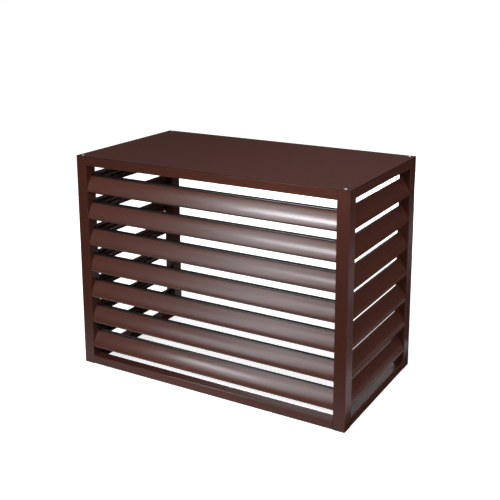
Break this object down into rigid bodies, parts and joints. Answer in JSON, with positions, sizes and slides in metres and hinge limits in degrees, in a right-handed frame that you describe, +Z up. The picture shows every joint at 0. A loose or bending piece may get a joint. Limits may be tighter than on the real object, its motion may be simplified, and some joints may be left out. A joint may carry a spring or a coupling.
{
  "type": "air conditioner screen",
  "caption": "Free-standing louvred aluminium screen that hides an outdoor air conditioner, open at the back and underneath, with a flat top to stand things on.",
  "frame": {"origin": "middle of the footprint, on the surface that the screen stands on", "axes": "+X along the front from the left panel to the right panel, +Y from the louvred front to the open back, +Z up"},
  "size_m": [1.1, 0.6, 0.8231],
  "materials": {
    "coated_aluminium": "satin dark brown powder coat on extruded and sheet aluminium",
    "bare_aluminium": "sawn and bare",
    "foot_plastic": "matt moulded",
    "plated_steel": "bright zinc plated"
  },
  "bodies": {
    "root": {"front_left_post": "coated_aluminium", "front_left_post_insert": "bare_aluminium", "front_left_foot_cap": "foot_plastic", "front_left_top_screw": "plated_steel", "front_right_post": "coated_aluminium", "front_right_post_insert": "bare_aluminium", "front_right_foot_cap": "foot_plastic", "front_right_top_screw": "plated_steel", "rear_left_post": "coated_aluminium", "rear_left_post_insert": "bare_aluminium", "rear_left_foot_cap": "foot_plastic", "rear_left_top_screw": "plated_steel", "rear_right_post": "coated_aluminium", "rear_right_post_insert": "bare_aluminium", "rear_right_foot_cap": "foot_plastic", "rear_right_top_screw": "plated_steel", "front_top_rail": "coated_aluminium", "front_bottom_rail": "coated_aluminium", "front_blade_1": "coated_aluminium", "front_blade_2": "coated_aluminium", "front_blade_3": "coated_aluminium", "front_blade_4": "coated_aluminium", "front_blade_5": "coated_aluminium", "front_blade_6": "coated_aluminium", "front_blade_7": "coated_aluminium", "left_top_rail": "coated_aluminium", "left_bottom_rail": "coated_aluminium", "left_blade_1": "coated_aluminium", "left_blade_2": "coated_aluminium", "left_blade_3": "coated_aluminium", "left_blade_4": "coated_aluminium", "left_blade_5": "coated_aluminium", "left_blade_6": "coated_aluminium", "left_blade_7": "coated_aluminium", "right_top_rail": "coated_aluminium", "right_bottom_rail": "coated_aluminium", "right_blade_1": "coated_aluminium", "right_blade_2": "coated_aluminium", "right_blade_3": "coated_aluminium", "right_blade_4": "coated_aluminium", "right_blade_5": "coated_aluminium", "right_blade_6": "coated_aluminium", "right_blade_7": "coated_aluminium", "rear_top_rail": "coated_aluminium", "top_sheet": "coated_aluminium"}
  },
  "joints": []
}
